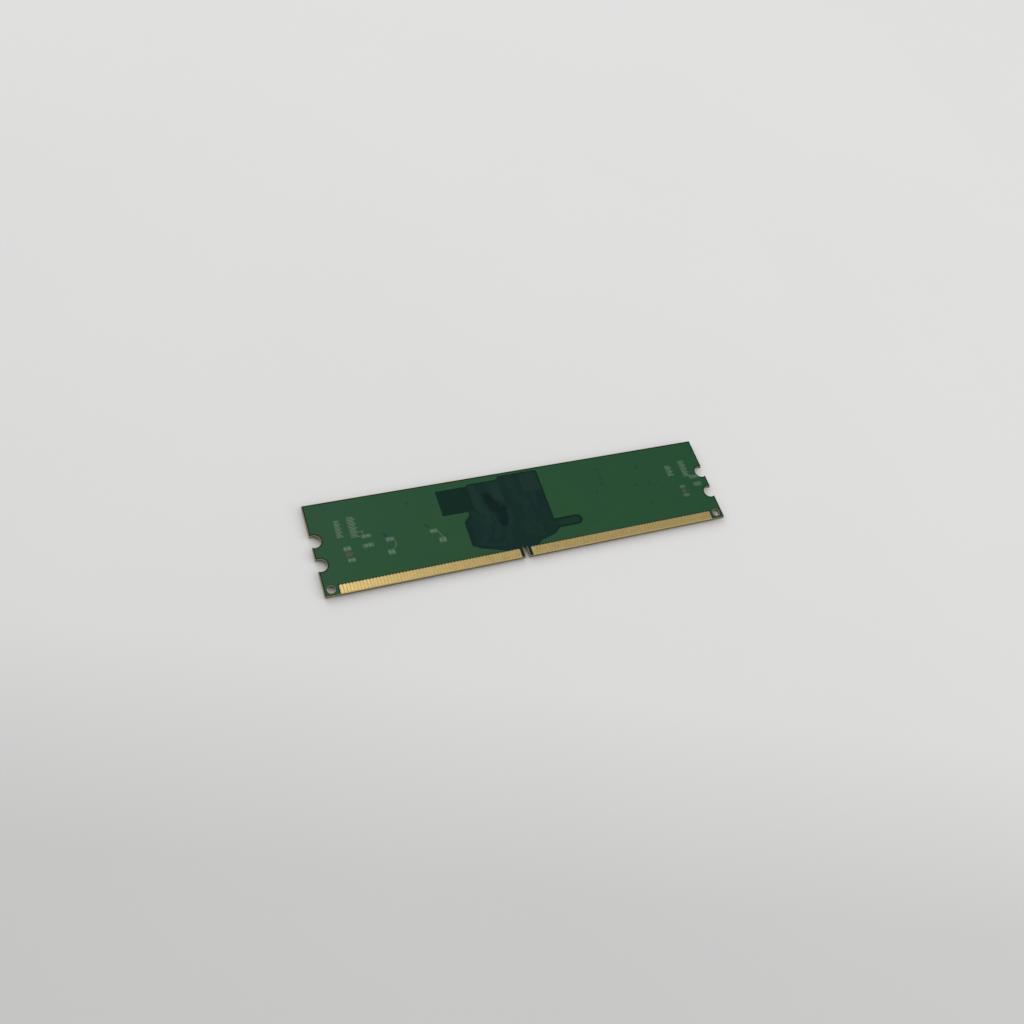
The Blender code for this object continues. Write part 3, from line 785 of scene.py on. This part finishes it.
ROUTES = (
    # points in mm, number of tracks, pitch in mm
    (((-15.0, 11.6), (-12.9, 9.5), (-12.9, 4.0), (-9.4, 0.5), (-9.4, -4.0), (-11.6, -6.2)), 4, 0.42),
    (((-16.6, 2.6), (-13.4, -0.6), (-13.4, -4.6), (-15.4, -6.6)), 5, 0.40),
    (((-1.2, 13.2), (-1.2, 6.0), (1.6, 3.2), (1.6, -2.0), (-0.4, -4.0), (-0.4, -7.2)), 7, 0.42),
    (((5.6, 13.0), (5.6, 8.6), (4.6, 7.6), (4.6, 1.2)), 3, 0.46),
    (((6.4, -1.0), (6.4, -4.6), (7.6, -5.8), (15.9, -5.8)), 3, 0.44),
    (((-8.9, 12.0), (-8.9, 9.4), (-6.2, 6.7), (-6.2, 4.2)), 5, 0.40),
    (((-7.6, -8.6), (-7.6, -5.4), (-5.0, -2.8), (-5.0, 1.0)), 4, 0.42),
    (((3.4, -8.2), (3.4, -5.9), (2.2, -4.7)), 4, 0.42),
    (((-17.8, -7.8), (-14.0, -8.8), (-10.2, -9.6)), 3, 0.42),
)
# How far a bundle's tracks run on past the route's ends, by turns
ROUTE_ENDS = (0.95 * MM, 0.35 * MM)


def add_routing(face, base):
    """Tracks and vias in the routed area of the back."""
    tracks, ends = [], []
    for points, count, pitch in ROUTES:
        for index, path in enumerate(bundle(in_mm(points), count, pitch * MM)):
            shift = ROUTE_ENDS[index % 2]
            first, last = moved_on(path[1], path[0], shift), moved_on(path[-2], path[-1], shift)
            tracks.append([first, *path, last])
            ends += [first, last]
    shell = track_shell(tracks, base, BACK_TRACK_HEIGHT)
    add_piece("back_tracks", shell, [MASK_OVER_TRACK], smooth_angle=60.0)
    spaced = []
    for place in ends:
        if all(math.dist(place, other) > ROUTING_VIA_SPACING for other in spaced):
            spaced.append(place)
    shell = via_shell(spaced, face, base, ROUTING_VIA_HEIGHT, ROUTING_VIA_RADIUS)
    add_piece("back_routing_vias", shell, [MASK_OVER_TRACK], smooth_angle=50.0)


# Copper that lies close under the routed area's mask, and a void in it, as outlines in mm
INNER_PLANE = (
    ((-13.6, -10.3), (-17.6, -8.0), (-18.4, -5.0), (-18.4, -0.8), (-17.2, 1.4), (-15.9, 2.6))
    + ((-14.9, 4.2), (-14.9, 12.3), (-5.7, 12.4), (-4.7, 13.6), (8.0, 13.6), (8.3, 13.3))
    + ((8.3, -4.6), (9.4, -5.4), (9.4, -7.0), (7.2, -8.9), (2.0, -10.3), (0.9, -11.7), (-9.4, -11.7))
)
INNER_VOID = (
    ((-9.2, -3.3), (-9.7, 0.4), (-11.0, 3.4), (-11.7, 8.2), (-9.6, 9.0), (-8.3, 5.4), (-5.9, 4.4))
    + ((-5.4, 2.3), (-5.9, -1.3), (-7.2, -3.6))
)
NEAR_FOILS = (
    ((-15.4, 4.0), (-12.9, 1.0), (-12.2, -2.0), (-11.2, -2.0), (-11.4, 1.6), (-12.9, 4.2))
    + ((-13.1, 12.2), (-15.3, 12.2)),
    ((-8.2, 6.4), (-5.3, 4.8), (-5.2, 12.2), (-8.2, 12.2)),
    ((2.0, 6.8), (8.0, 6.8), (8.0, 13.3), (2.0, 13.3)),
    ((9.6, -4.9), (16.2, -4.9), (16.9, -5.5), (16.9, -6.3), (16.2, -6.9), (9.6, -6.9)),
)
UNDER_MASK = (
    # name, material, height above the low mask, outlines
    ("inner_plane", MASK_OVER_PLANE, 0.003 * MM, (INNER_PLANE,)),
    ("inner_void", MASK_OVER_VOID, 0.005 * MM, (INNER_VOID,)),
    ("near_foil", MASK_OVER_FOIL, 0.005 * MM, NEAR_FOILS),
)
UNDER_MASK_OVERLAP = 0.003 * MM


def add_planes_under_mask(face, base):
    """Coats that show by their tone what lies under the routed area's mask."""
    for name, material, rise, outlines in UNDER_MASK:
        low, high = sorted((base - face["out"] * UNDER_MASK_OVERLAP, base + face["out"] * rise))
        shell = plate_shell([in_mm(outline) for outline in outlines], low, high)
        add_piece(f"mask_over_{name}", shell, [material])


def add_board_back():
    """The bare side, which faces up."""
    base = add_low_mask("back", BACK)
    isolated = in_mm(ISOLATED_VIAS)
    add_high_mask("back", BACK, base, routed_area, isolated)
    add_planes_under_mask(BACK, base)
    add_routing(BACK, base)
    add_vias("back_vias", BACK, base, stitching_vias(random.Random(7)), isolated)
    add_contacts("back", BACK)


# Marks in mm: boxes as left, bottom, right, top, and lines as points
PAD_MARKS = (
    (-52.1, 1.0, -48.9, 2.2),
    (-52.3, -2.2, -48.9, -0.8),
    (-58.1, -2.2, -55.7, -0.6),
    (-57.7, -5.9, -55.3, -4.5),
    (-45.2, -1.5, -42.5, -0.1),
    (-45.5, -5.9, -43.3, -4.1),
    (-31.4, -1.5, -28.9, -0.1),
    (-29.4, -5.1, -27.1, -3.2),
    (60.6, 0.8, 64.0, 2.1),
    (61.0, -2.2, 64.0, -0.7),
    (55.7, -2.0, 57.7, -0.9),
    (55.7, -5.3, 58.0, -4.2),
)
HATCH_MARKS = (
    (-59.0, 2.5, -57.0, 8.3),
    (-55.0, 1.7, -52.4, 8.8),
    (53.2, 3.1, 55.6, 7.2),
    (58.7, 1.9, 61.2, 8.2),
)
RED_MARKS = (
    (-57.9, -4.0, -55.7, -2.6),
    (55.9, -3.9, 57.4, -2.3),
)
LINE_MARKS = (
    ((-42.5, -1.5), (-42.5, -3.0), (-43.4, -4.1)),
    ((-28.9, -1.2), (-27.9, -3.2)),
    ((-52.4, 3.4), (-51.2, 3.4), (-51.2, 2.2)),
)

# Line widths, corner radii and the pads' size and places, in mm
PRINT_LINE = 0.14
HATCH_LINE = 0.18
HATCH_PITCH = 0.46
HATCH_STAGGER = (0.25, 0.3)
FIELD_CORNER = 0.35
RED_CORNER = 0.3
PAD_CORNER = 0.1
PAD_WIDTH = 0.6
PAD_SHIFT = 0.55

# How far each kind of mark stands above the mask
FIELD_RISE = 0.004 * MM
LINE_RISE = 0.006 * MM
PAD_RISE = 0.010 * MM


def printed_line(points, line):
    """Outline of a printed line of a given width, in metres."""
    return in_mm(offset_path(points, line / 2) + offset_path(points, -line / 2)[::-1])


def hatch_lines(left, bottom, right, top):
    """Short level lines of uneven length that fill a field."""
    rows = round((top - bottom) / HATCH_PITCH)
    lines = []
    for row in range(rows):
        y = bottom + (row + 0.5) * (top - bottom) / rows
        start = left + HATCH_STAGGER[0] * (row % 2)
        end = right - HATCH_STAGGER[1] * (row % 3)
        lines.append([(start, y), (end, y)])
    return lines


def spare_pads(left, bottom, right, top):
    """A pair of pads in the middle of a printed field."""
    middle, margin = (left + right) / 2, (top - bottom) / 4
    pads = []
    for x in (middle - PAD_SHIFT, middle + PAD_SHIFT):
        box = (x - PAD_WIDTH / 2, bottom + margin, x + PAD_WIDTH / 2, top - margin)
        pads.append(in_mm(rounded_rectangle(*box, PAD_CORNER)))
    return pads


def add_flat_mark(name, outlines, rise, material):
    """A thin layer that stands a little above the back's mask."""
    shell = plate_shell(outlines, BACK["surface"] - OVERLAP, BACK["surface"] + rise)
    add_piece(name, shell, [material])


def add_marks():
    """Plain marks at the ends of the back: printed fields with pairs of levelled pads, and hatching."""
    fields = [in_mm(rounded_rectangle(*box, FIELD_CORNER)) for box in PAD_MARKS]
    pads = [pad for box in PAD_MARKS for pad in spare_pads(*box)]
    lines = [printed_line(points, PRINT_LINE) for points in LINE_MARKS]
    for box in HATCH_MARKS:
        lines += [printed_line(points, HATCH_LINE) for points in hatch_lines(*box)]
    reds = [in_mm(rounded_rectangle(*box, RED_CORNER)) for box in RED_MARKS]
    add_flat_mark("back_printed_fields", fields, FIELD_RISE, PALE_INK)
    add_flat_mark("back_spare_pads", pads, PAD_RISE, PAD_TIN)
    add_flat_mark("back_printed_lines", lines, LINE_RISE, WHITE_INK)
    add_flat_mark("back_red_marks", reds, FIELD_RISE, RED_INK)


# ---- the front


# Vias about each package: a grid with three rows below it and one above
FRONT_VIA_COLUMNS = 9
FRONT_VIA_MARGIN = 1.0 * MM
FRONT_VIA_START = 0.9 * MM
FRONT_VIA_PITCH = 0.75 * MM
FRONT_VIA_SHARE = 0.55
ISOLATED_SHARE = 0.4

# Front tracks: where they start, how far they run straight, and how they spread
FRONT_TRACK_START = 3.1 * MM
FRONT_TRACK_STRAIGHT = 0.9 * MM
NETWORK_APPROACH = 0.6 * MM
TRACK_SPREAD = 0.5 * MM


def front_vias(tracks):
    """Isolated and joined vias about the packages, clear of the tracks."""
    rng = random.Random(11)
    isolated, joined = [], []
    for low, high in PACKAGES:
        left = low.x - FRONT_VIA_MARGIN
        pitch = (high.x - low.x + 2 * FRONT_VIA_MARGIN) / (FRONT_VIA_COLUMNS - 1)
        rows = [low.y - FRONT_VIA_START - row * FRONT_VIA_PITCH for row in range(3)]
        for y in (*rows, high.y + FRONT_VIA_START):
            for x in [left + column * pitch for column in range(FRONT_VIA_COLUMNS)]:
                kind = isolated if rng.random() < ISOLATED_SHARE else joined
                wanted = rng.random() < FRONT_VIA_SHARE
                if wanted and all(gap_to_path((x, y), path) > VIA_TO_TRACK for path in tracks):
                    kind.append((x, y))
    return isolated, joined


def add_board_front():
    """The component side, which faces down."""
    base = add_low_mask("front", FRONT)
    tracks = front_tracks()
    isolated, joined = front_vias(tracks)
    add_high_mask("front", FRONT, base, lambda bottom: key_notch(POUR_INSET, bottom), isolated)
    add_vias("front_vias", FRONT, base, joined, isolated)
    level = FRONT["surface"] - FRONT["out"] * FRONT_TRACK_SINK
    shell = track_shell(tracks, level, FRONT_TRACK_HEIGHT)
    add_piece("front_tracks", shell, [MASK_OVER_COPPER], smooth_angle=60.0)
    add_contacts("front", FRONT)


def terminal_places(low, high):
    """X of each terminal of a resistor network."""
    pitch = (high.x - low.x) / NETWORK_TERMINALS
    return [low.x + (i + 0.5) * pitch for i in range(NETWORK_TERMINALS)]


def front_tracks():
    """Tracks from the contacts to the resistor networks, and on to the packages."""
    tracks = []
    start = -HALF_HEIGHT + FRONT_TRACK_START
    for low, high in NETWORKS:
        middle = (low.x + high.x) / 2
        package_low = min(PACKAGES, key=lambda box: abs((box[0].x + box[1].x) / 2 - middle))[0]
        rise = package_low.y - high.y
        for index, x in enumerate(terminal_places(low, high)):
            spread = (index - (NETWORK_TERMINALS - 1) / 2) * TRACK_SPREAD
            foot, lane = x + spread, x + 0.5 * spread
            bend = start + FRONT_TRACK_STRAIGHT
            tracks.append([(foot, start), (foot, bend), (x, low.y - NETWORK_APPROACH), (x, low.y)])
            bends = [(x, high.y + 0.25 * rise), (lane, high.y + 0.5 * rise)]
            tracks.append([(x, high.y), *bends, (lane, package_low.y)])
    return tracks


FILLET_STEPS = 5


def solder_fillet(shell, x, y, direction, width, reach, rise, material):
    """A concave fillet of solder at one terminal, from the board up the terminal's end."""
    angles = [math.radians(90.0 * i / FILLET_STEPS) for i in range(FILLET_STEPS + 1)]
    section = [(reach * (1.0 - math.sin(a)), rise * (1.0 - math.cos(a))) for a in angles]
    section.append((0.0, -OVERLAP))
    across = Vector((-direction.y, direction.x, 0.0)) * width / 2
    sides = []
    for shift in (-across, across):
        points = [Vector((x, y, 0.0)) + direction * out + shift for out, up in section]
        levels = [FRONT["surface"] - up for out, up in section]
        sides.append([shell.verts.new((*point.xy, z)) for point, z in zip(points, levels)])
    made = [shell.faces.new(side) for side in sides]
    near, far = sides
    for i in range(len(section)):
        made.append(shell.faces.new((near[i - 1], far[i - 1], far[i], near[i])))
    for face in made:
        face.material_index = material


def add_soldered(name, shell, materials, replaces=()):
    """A piece with solder fillets, whose faces are first turned outwards."""
    bmesh.ops.recalc_face_normals(shell, faces=shell.faces)
    add_piece(name, shell, materials, replaces)


# Resistor networks: sizes as shares of the CAD block's length, width and height
NETWORK_BODY = (0.97, 0.80, 0.90)
NETWORK_GLAZE = (0.93, 0.56, 0.05)
GLAZE_LEVEL = 0.045
TERMINAL_SIZE = (0.24, 0.97)
TERMINAL_PLACE = 0.38
TERMINAL_END = 0.49
TERMINAL_WIDTH = 0.31 * MM
NETWORK_FILLET = (0.3 * MM, 0.22 * MM)
NETWORK_FILLET_RISE = 0.6


def add_terminal(shell, x, side, centre, width, height):
    """One tinned terminal of a network, with its fillet."""
    place = (x, centre.y + side * TERMINAL_PLACE * width, centre.z)
    size = (TERMINAL_WIDTH, TERMINAL_SIZE[0] * width, TERMINAL_SIZE[1] * height)
    add_block(shell, place, size, 0.025 * MM, 2)
    end = centre.y + side * TERMINAL_END * width
    out = Vector((0.0, side, 0.0))
    solder_fillet(shell, x, end, out, *NETWORK_FILLET, NETWORK_FILLET_RISE * height, 2)


def add_networks():
    """Resistor networks: an alumina block with a black glaze, and tinned terminals along both sides."""
    for number, (low, high) in enumerate(NETWORKS, start=1):
        centre = (low + high) / 2
        size = [high[axis] - low[axis] for axis in range(3)]
        shell = bmesh.new()
        add_block(shell, centre, shares_of(size, NETWORK_BODY), 0.02 * MM, 0)
        place = (centre.x, centre.y, low.z + GLAZE_LEVEL * size[2])
        add_block(shell, place, shares_of(size, NETWORK_GLAZE), 0.006 * MM, 1)
        for x in terminal_places(low, high):
            for side in (-1.0, 1.0):
                add_terminal(shell, x, side, centre, size[1], size[2])
        node = f"resistor_network_{number:02d}"
        add_soldered(f"{node}_body", shell, [ALUMINA, GLAZE, TIN], (node,))


# Chip parts: sizes, and shares of a part's own length, width and height
CAPACITOR_SIZE = (1.0 * MM, 0.5 * MM, 0.5 * MM)
RESISTOR_SIZE = (1.0 * MM, 0.5 * MM, 0.35 * MM)
CHIP_STAND_OFF = 0.01 * MM
CHIP_BODY = 0.94
CAP_LENGTH = 0.23
CAP_PLACE = 0.39
CHIP_END = 0.49
CHIP_FILLET = (0.94, 0.28, 0.55)

# Single capacitors: beside each package, above it, and in the middle of the board
BESIDE_PACKAGE = (3.0 * MM, 2.6 * MM)
ABOVE_PACKAGE = (2.3 * MM, 2.2 * MM)
LAST_OF_HALF = (3, 7)  # packages with no room beside them
MIDDLE_CAPACITORS = ((-1.2, -2.2), (0.4, -2.2), (2.0, -2.2), (5.4, 9.6), (7.0, 9.6), (-6.6, -3.4))
RESISTOR_RISE = 0.5 * MM


def add_chip_part(shell, x, y, along_x, size):
    """A chip capacitor or resistor: its body, its two tinned ends and their fillets, below the board."""
    length, width, height = size
    along = Vector((1.0, 0.0, 0.0)) if along_x else Vector((0.0, 1.0, 0.0))
    flat = (length, width) if along_x else (width, length)
    centre = Vector((x, y, FRONT["surface"] - height / 2 - CHIP_STAND_OFF))
    add_block(shell, centre, [CHIP_BODY * side for side in (*flat, height)], 0.03 * MM, 0)
    cap = (CAP_LENGTH * length, width) if along_x else (width, CAP_LENGTH * length)
    fillet = shares_of((width, length, height), CHIP_FILLET)
    for side in (-1.0, 1.0):
        add_block(shell, centre + along * side * CAP_PLACE * length, (*cap, height), 0.05 * MM, 1)
        tip = centre + along * side * CHIP_END * length
        solder_fillet(shell, tip.x, tip.y, along * side, *fillet, 1)


def add_chip_parts():
    """Single capacitors around the packages, and a resistor between each pair of networks."""
    capacitors, resistors = bmesh.new(), bmesh.new()
    for index, (low, high) in enumerate(PACKAGES):
        x, y = (low.x + high.x) / 2, (low.y + high.y) / 2
        for side in (-1.0, 1.0):
            place = (x + side * ABOVE_PACKAGE[0], high.y + ABOVE_PACKAGE[1])
            add_chip_part(capacitors, *place, True, CAPACITOR_SIZE)
        if index not in LAST_OF_HALF:
            for side in (-1.0, 1.0):
                place = (high.x + BESIDE_PACKAGE[0], y + side * BESIDE_PACKAGE[1])
                add_chip_part(capacitors, *place, False, CAPACITOR_SIZE)
        add_chip_part(resistors, x, NETWORKS[0][0].y + RESISTOR_RISE, False, RESISTOR_SIZE)
    for x, y in in_mm(MIDDLE_CAPACITORS):
        add_chip_part(capacitors, x, y, False, CAPACITOR_SIZE)
    add_soldered("chip_capacitors", capacitors, [CAPACITOR, TIN])
    add_soldered("chip_resistors", resistors, [GLAZE, TIN])


def add_bulk_capacitors():
    for number in (1, 2):
        node = f"bulk_capacitor_{number}"
        low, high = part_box(node)
        centre = (low + high) / 2
        shell = bmesh.new()
        add_chip_part(shell, centre.x, centre.y, True, tuple(high - low))
        add_soldered(f"{node}_body", shell, [CAPACITOR, TIN], (node,))


# Package substrates, and the grid of balls under each
BALL_COLUMNS = (-4, -3, -2, 2, 3, 4)
BALL_ROWS = 11
BALL_PITCH = 0.8 * MM
BALL_RADIUS = 0.235 * MM
BALL_STEPS = 12
BALL_OVERLAP = 0.002 * MM
FIRST_SHORT_ROW = 5
SLAB_THICKNESS = 0.26 * MM
SLAB_GAP = 0.004 * MM


def ball_places(centre):
    """Places of the balls. Where a row is one short, it lacks its first or its last column."""
    places = []
    for row in range(BALL_ROWS):
        missing = BALL_COLUMNS[0 if row % 2 else -1] if row >= FIRST_SHORT_ROW else None
        y = centre.y + (BALL_ROWS // 2 - row) * BALL_PITCH
        places += [(centre.x + column * BALL_PITCH, y) for column in BALL_COLUMNS if column != missing]
    return places


def ball_profile(low, high):
    """A ball squeezed between the package and the board."""
    half, middle = (high - low) / 2, (high + low) / 2
    levels = [middle + half * math.sin(math.radians(angle)) for angle in range(-90, 91, 30)]
    return [(math.sqrt(BALL_RADIUS**2 - (z - middle) ** 2), z) for z in levels]


def add_substrates():
    """Package substrates with round solder balls."""
    for number, (low, high) in enumerate(PACKAGES, start=1):
        centre = (low + high) / 2
        slab_low = high.z + SLAB_GAP
        slab_high = slab_low + SLAB_THICKNESS
        profile = ball_profile(slab_high - BALL_OVERLAP, FRONT["surface"] + BALL_OVERLAP)
        shell = turned_shell(ball_places(centre), profile, BALL_STEPS, 1)
        size = (high.x - low.x, high.y - low.y, SLAB_THICKNESS)
        add_block(shell, (centre.x, centre.y, (slab_low + slab_high) / 2), size, 0.012 * MM, 0)
        node = f"memory_{number}_substrate"
        add_piece(f"{node}_and_balls", shell, [SUBSTRATE, SOLDER], (node,))


def dress_cad_nodes():
    """Better materials for the CAD solids that stay in view or inside the module."""
    finishes = {
        "laminate": LAMINATE,
        "copper": COPPER,
        "mould_compound": MOULDING,
        "silicon": SILICON,
        "tinned_lead": TIN,
    }
    slots = {entry["node"]: entry["material_slot"] for entry in frame["record"]["subparts"]}
    for name, node in frame["nodes"].items():
        material = finishes.get(slots[name])
        if material and not node.hide_render:
            node.data.materials.clear()
            node.data.materials.append(material)


# ---- setting


# The table's tone, with painted light and shade: how much it rises for each metre along x and y, a painted
# light gradient, and which way its near side lies, which a painted shadow darkens
TABLE_SIZE = 6.0
TABLE_PAINTED_LIGHT_SLOPE = (0.326, 0.171, 0.0)
TABLE_PAINTED_SHADOW_SIDE = (0.4, 1.0, 0.0)
SKY_COLOUR = (0.98, 1.0, 1.0, 1.0)
SKY_STRENGTH = 0.33


def add_floor():
    """A wide pale table top, just under the packages. Its tone holds painted light that brightens it along
    x and y, and a painted shadow that darkens it towards the camera's side.
    """
    bpy.ops.mesh.primitive_plane_add(size=TABLE_SIZE, location=(0.0, 0.0, 0.0))
    floor = bpy.context.active_object
    floor.name = "table_top"
    graph = Graph("table_top", (0.80, 0.79, 0.785), 0.6, specular=0.15)
    even = graph.spread(graph.noise(9.0, 3.0), 0.785, 0.797)
    # Painted light: the tone rises along x and y, over a faint random mottle
    painted_light_and_mottle = graph.math("ADD", graph.along(TABLE_PAINTED_LIGHT_SLOPE), even)
    # Painted shadow: the tone falls towards the camera's side
    near = graph.spread(graph.along(TABLE_PAINTED_SHADOW_SIDE), -0.113, 0.0, -0.12, -0.06)
    tone = graph.math("ADD", painted_light_and_mottle, near)
    graph.feed("Base Color", graph.blend(tone, (0.0, 0.0, 0.0), (1.0, 0.988, 0.982)))
    floor.data.materials.append(graph.material)


CEILING_HEIGHT = 1.0


def add_ceiling_panel(name, x, y, size, power):
    """A rectangular light that shines straight down."""
    light = bpy.data.lights.new(name, "AREA")
    light.shape = "RECTANGLE"
    light.size, light.size_y = size
    light.energy = power
    holder = bpy.data.objects.new(name, light)
    holder.location = (x, y, CEILING_HEIGHT)
    link(holder)


def add_light():
    """A bright ceiling, left dark over the far right: what the contacts' right end reflects."""
    world = bpy.data.worlds.new("studio")
    world.use_nodes = True
    sky = world.node_tree.nodes["Background"]
    sky.inputs["Color"].default_value = SKY_COLOUR
    sky.inputs["Strength"].default_value = SKY_STRENGTH
    bpy.context.scene.world = world
    add_ceiling_panel("left_ceiling", -0.79, 0.75, (1.92, 2.3), 16.6)
    add_ceiling_panel("near_ceiling", 0.885, -0.775, (1.43, 1.45), 7.8)


def add_camera():
    """The camera, from its distance and angles about the point that it aims at."""
    camera = bpy.data.objects.new("camera", bpy.data.cameras.new("camera"))
    camera.data.lens = CAMERA_LENS
    camera.data.clip_start = CAMERA_CLIP_START
    turn = Matrix.Rotation(-math.radians(CAMERA_AZIMUTH), 4, "Z")
    tilt = Matrix.Rotation(math.radians(90.0 - CAMERA_ELEVATION), 4, "X")
    roll = Matrix.Rotation(math.radians(CAMERA_ROLL), 4, "Z")
    back = Matrix.Translation((0.0, 0.0, CAMERA_DISTANCE))
    camera.matrix_world = Matrix.Translation(CAMERA_AIM) @ turn @ tilt @ roll @ back
    link(camera)
    bpy.context.scene.camera = camera


add_board_back()
add_marks()
add_board_front()
add_networks()
add_chip_parts()
add_bulk_capacitors()
add_substrates()
dress_cad_nodes()
add_floor()
add_light()
add_camera()
bpy.context.scene.view_settings.view_transform = "Standard"

bpy.context.view_layer.update()
